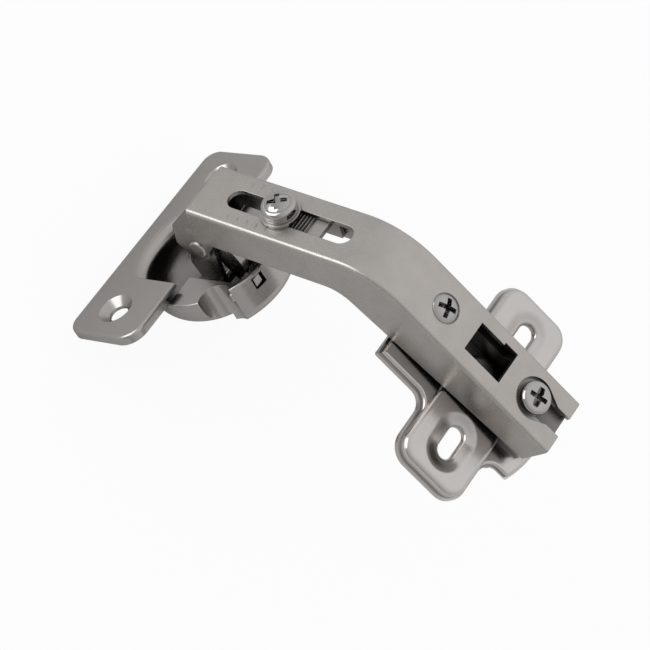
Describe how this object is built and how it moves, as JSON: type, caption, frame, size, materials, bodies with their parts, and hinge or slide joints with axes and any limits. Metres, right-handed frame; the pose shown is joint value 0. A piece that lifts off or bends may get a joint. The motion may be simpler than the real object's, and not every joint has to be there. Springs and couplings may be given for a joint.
{
  "type": "concealed cup hinge",
  "caption": "Concealed furniture hinge with a bent channel arm, a drilled-in cup on two links, a slotted wing plate and adjusting screws, shown open.",
  "frame": {"origin": "on the mounting plate's base, midway between its two slots", "axes": "+X along the fixed end of the arm toward its fork, +Y across the plate from slot to slot, +Z out of the base"},
  "size_m": [0.0939, 0.0622, 0.0822],
  "materials": {
    "plate_steel": "smooth bright nickel plate",
    "rail_steel": "nickel plate",
    "rivet_steel": "bright nickel plate",
    "arm_steel": "satin nickel plate with a fine grain",
    "carriage_steel": "satin nickel plate",
    "screw_steel": "bright plated steel",
    "pin_steel": "bright plated steel",
    "link_steel": "nickel plate",
    "cup_steel": "smooth nickel plate",
    "spring_steel": "bare spring steel"
  },
  "bodies": {
    "plate": {"mounting_plate": "plate_steel", "plate_rail": "rail_steel", "plate_rivet": "rivet_steel"},
    "arm": {"arm": "arm_steel"},
    "clamp_screw": {"clamp_screw": "screw_steel"},
    "overlay_screw": {"overlay_screw": "screw_steel"},
    "carriage": {"inner_arm": "carriage_steel", "length_washer": "rivet_steel", "upper_pin": "pin_steel", "arm_rivet_near": "pin_steel", "arm_rivet_far": "pin_steel"},
    "length_screw": {"length_screw": "screw_steel"},
    "outer_link": {"outer_link": "link_steel"},
    "cup": {"hinge_cup": "cup_steel", "back_cup_pin": "pin_steel", "front_cup_pin": "pin_steel", "closing_spring": "spring_steel"},
    "inner_link": {"inner_link": "link_steel"}
  },
  "joints": [
    {"name": "depth_slide", "type": "slide", "parent": "plate", "child": "arm", "axis": [1, 0, 0], "range_m": [-0.0009, 0.0009]},
    {"name": "clamp_turn", "type": "hinge", "parent": "plate", "child": "clamp_screw", "pos_m": [0.0053, 0, 0.0155], "axis": [0, 0, 1], "continuous": true},
    {"name": "overlay_turn", "type": "hinge", "parent": "arm", "child": "overlay_screw", "pos_m": [-0.0241, 0, 0.0155], "axis": [0, 0, 1], "continuous": true},
    {"name": "length_slide", "type": "slide", "parent": "arm", "child": "carriage", "axis": [0.6293, 0, 0.7771], "range_m": [-0.004, 0.004]},
    {"name": "length_turn", "type": "hinge", "parent": "carriage", "child": "length_screw", "pos_m": [-0.06102, 0, -0.00588], "axis": [-0.7771, 0, 0.6293], "continuous": true},
    {"name": "hinge_turn", "type": "hinge", "parent": "carriage", "child": "outer_link", "pos_m": [-0.06412, 0, -0.03374], "axis": [0, 1, 0], "range_deg": [0, 102]},
    {"name": "cup_turn", "type": "hinge", "parent": "outer_link", "child": "cup", "pos_m": [-0.0521, 0, -0.04303], "axis": [0, 1, 0], "range_deg": [0, 5]},
    {"name": "inner_link_turn", "type": "hinge", "parent": "cup", "child": "inner_link", "pos_m": [-0.05076, 0, -0.03305], "axis": [0, 1, 0], "range_deg": [-33, 0]}
  ],
  "couplings": [
    {"joint": "cup_turn", "follows": "hinge_turn", "ratio": 0.0472},
    {"joint": "inner_link_turn", "follows": "hinge_turn", "ratio": -0.3167}
  ]
}
